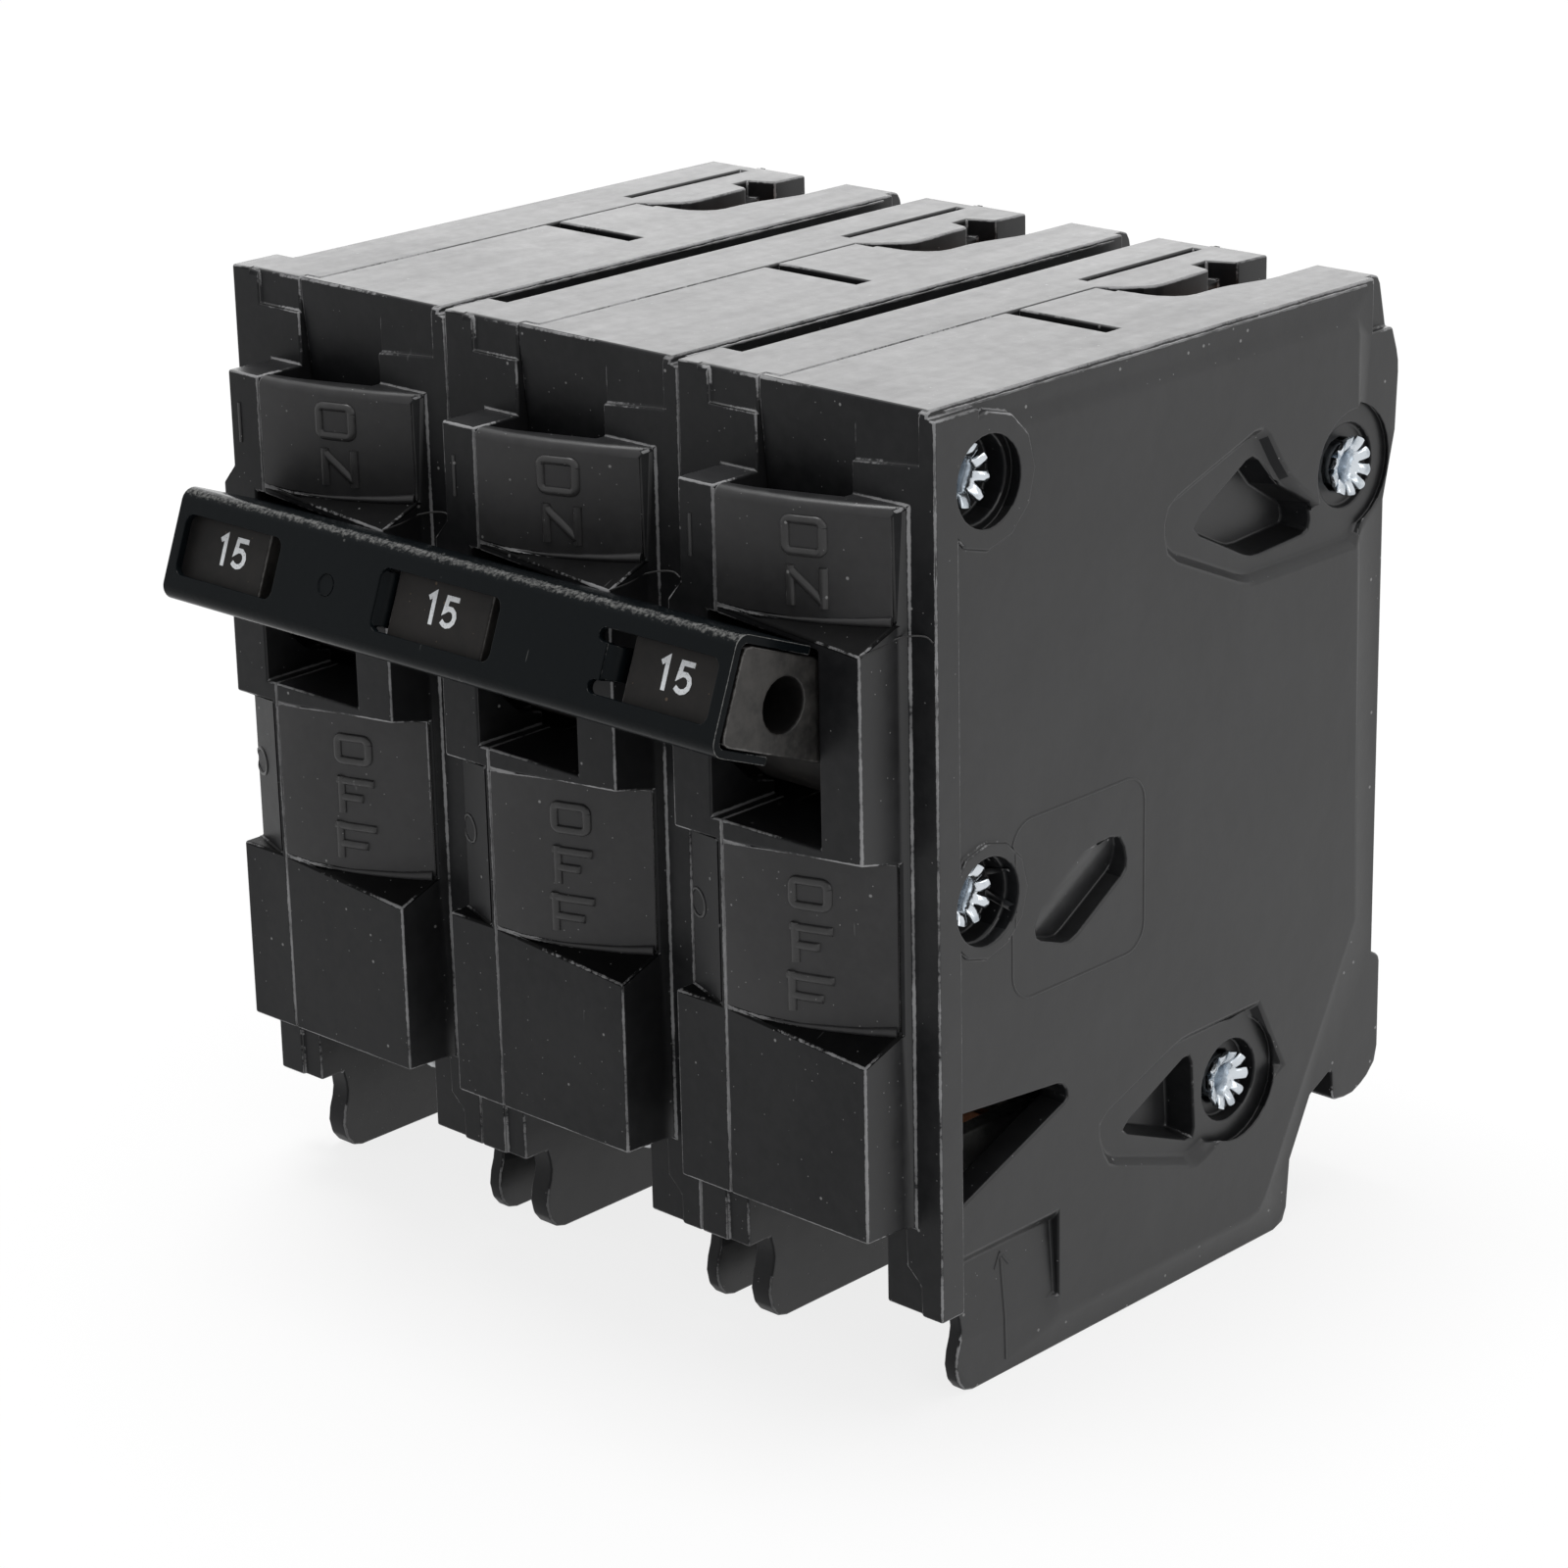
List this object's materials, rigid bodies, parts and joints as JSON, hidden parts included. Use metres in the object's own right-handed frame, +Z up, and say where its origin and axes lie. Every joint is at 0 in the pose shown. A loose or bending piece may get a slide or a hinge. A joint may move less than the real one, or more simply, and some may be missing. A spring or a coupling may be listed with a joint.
{
  "type": "molded case circuit breaker",
  "caption": "Multi-pole plug-in circuit breaker: black moulded pole cases riveted side by side, toggle levers joined by a folded steel tie bar, stab jaws at the back, wire lugs below.",
  "frame": {"origin": "on the floor plane under the middle of the whole breaker's box", "axes": "+X to the right seen from the toggles, +Y from the toggles to the back of the panel, +Z up, ON end of the toggles up"},
  "size_m": [0.0762, 0.0718, 0.0782],
  "materials": {
    "case": "moulded black thermoset, satin, with pale worn edges",
    "handle": "moulded black, satin",
    "tie_bar": "gloss black over sheet steel",
    "zinc": "bright zinc plate",
    "copper": "dull copper, tarnished",
    "contact_silver": "silver alloy facing",
    "steel": "plain sheet and wire",
    "bimetal": "rolled strip",
    "braid": "plaited copper",
    "lug": "tin plated"
  },
  "bodies": {
    "case": {"left_base_half": "case", "left_cover_half": "case", "left_line_jaw": "copper", "left_fixed_contact": "contact_silver", "left_toggle_spring": "steel", "left_arc_chute": "steel", "left_magnet_yoke": "steel", "left_bimetal": "bimetal", "left_load_strap": "copper", "left_braid": "braid", "left_terminal_lug": "lug", "centre_base_half": "case", "centre_cover_half": "case", "centre_line_jaw": "copper", "centre_fixed_contact": "contact_silver", "centre_toggle_spring": "steel", "centre_arc_chute": "steel", "centre_magnet_yoke": "steel", "centre_bimetal": "bimetal", "centre_load_strap": "copper", "centre_braid": "braid", "centre_terminal_lug": "lug", "right_base_half": "case", "right_cover_half": "case", "right_line_jaw": "copper", "right_fixed_contact": "contact_silver", "right_toggle_spring": "steel", "right_arc_chute": "steel", "right_magnet_yoke": "steel", "right_bimetal": "bimetal", "right_load_strap": "copper", "right_braid": "braid", "right_terminal_lug": "lug", "upper_front_rivet": "zinc", "upper_back_rivet": "zinc", "middle_front_rivet": "zinc", "lower_back_rivet": "zinc"},
    "handle_set": {"handle_tie_bar": "tie_bar", "left_handle": "handle", "centre_handle": "handle", "right_handle": "handle"},
    "left_arm": {"left_contact_arm": "copper"},
    "centre_arm": {"centre_contact_arm": "copper"},
    "right_arm": {"right_contact_arm": "copper"},
    "trip_bar": {"common_trip_rod": "steel", "left_trip_cradle": "steel", "centre_trip_cradle": "steel", "right_trip_cradle": "steel"},
    "left_armature_plate": {"left_armature": "steel"},
    "centre_armature_plate": {"centre_armature": "steel"},
    "right_armature_plate": {"right_armature": "steel"},
    "left_screw": {"left_terminal_screw": "zinc"},
    "centre_screw": {"centre_terminal_screw": "zinc"},
    "right_screw": {"right_terminal_screw": "zinc"}
  },
  "joints": [
    {"name": "handle_swing", "type": "hinge", "parent": "case", "child": "handle_set", "pos_m": [0, -0.01746, 0.0528], "axis": [1, 0, 0], "range_deg": [0, 42]},
    {"name": "left_arm_swing", "type": "hinge", "parent": "case", "child": "left_arm", "pos_m": [-0.02505, -0.00866, 0.0442], "axis": [1, 0, 0], "range_deg": [-27, 0]},
    {"name": "centre_arm_swing", "type": "hinge", "parent": "case", "child": "centre_arm", "pos_m": [0.00035, -0.00866, 0.0442], "axis": [1, 0, 0], "range_deg": [-27, 0]},
    {"name": "right_arm_swing", "type": "hinge", "parent": "case", "child": "right_arm", "pos_m": [0.02575, -0.00866, 0.0442], "axis": [1, 0, 0], "range_deg": [-27, 0]},
    {"name": "trip_swing", "type": "hinge", "parent": "case", "child": "trip_bar", "pos_m": [0, -0.00466, 0.0312], "axis": [1, 0, 0], "range_deg": [0, 16]},
    {"name": "left_armature_tilt", "type": "hinge", "parent": "case", "child": "left_armature_plate", "pos_m": [-0.02505, 0.02069, 0.0212], "axis": [-1, 0, 0], "range_deg": [0, 4], "stiffness_Nm_per_rad": 0.005, "springref_deg": -8.59},
    {"name": "centre_armature_tilt", "type": "hinge", "parent": "case", "child": "centre_armature_plate", "pos_m": [0.00035, 0.02069, 0.0212], "axis": [-1, 0, 0], "range_deg": [0, 4], "stiffness_Nm_per_rad": 0.005, "springref_deg": -8.59},
    {"name": "right_armature_tilt", "type": "hinge", "parent": "case", "child": "right_armature_plate", "pos_m": [0.02575, 0.02069, 0.0212], "axis": [-1, 0, 0], "range_deg": [0, 4], "stiffness_Nm_per_rad": 0.005, "springref_deg": -8.59},
    {"name": "left_screw_travel", "type": "slide", "parent": "case", "child": "left_screw", "axis": [0, 1, 0], "range_m": [0, 0.0045]},
    {"name": "centre_screw_travel", "type": "slide", "parent": "case", "child": "centre_screw", "axis": [0, 1, 0], "range_m": [0, 0.0045]},
    {"name": "right_screw_travel", "type": "slide", "parent": "case", "child": "right_screw", "axis": [0, 1, 0], "range_m": [0, 0.0045]}
  ],
  "couplings": [
    {"joint": "left_arm_swing", "follows": "handle_swing", "ratio": -0.64286},
    {"joint": "centre_arm_swing", "follows": "handle_swing", "ratio": -0.64286},
    {"joint": "right_arm_swing", "follows": "handle_swing", "ratio": -0.64286}
  ]
}
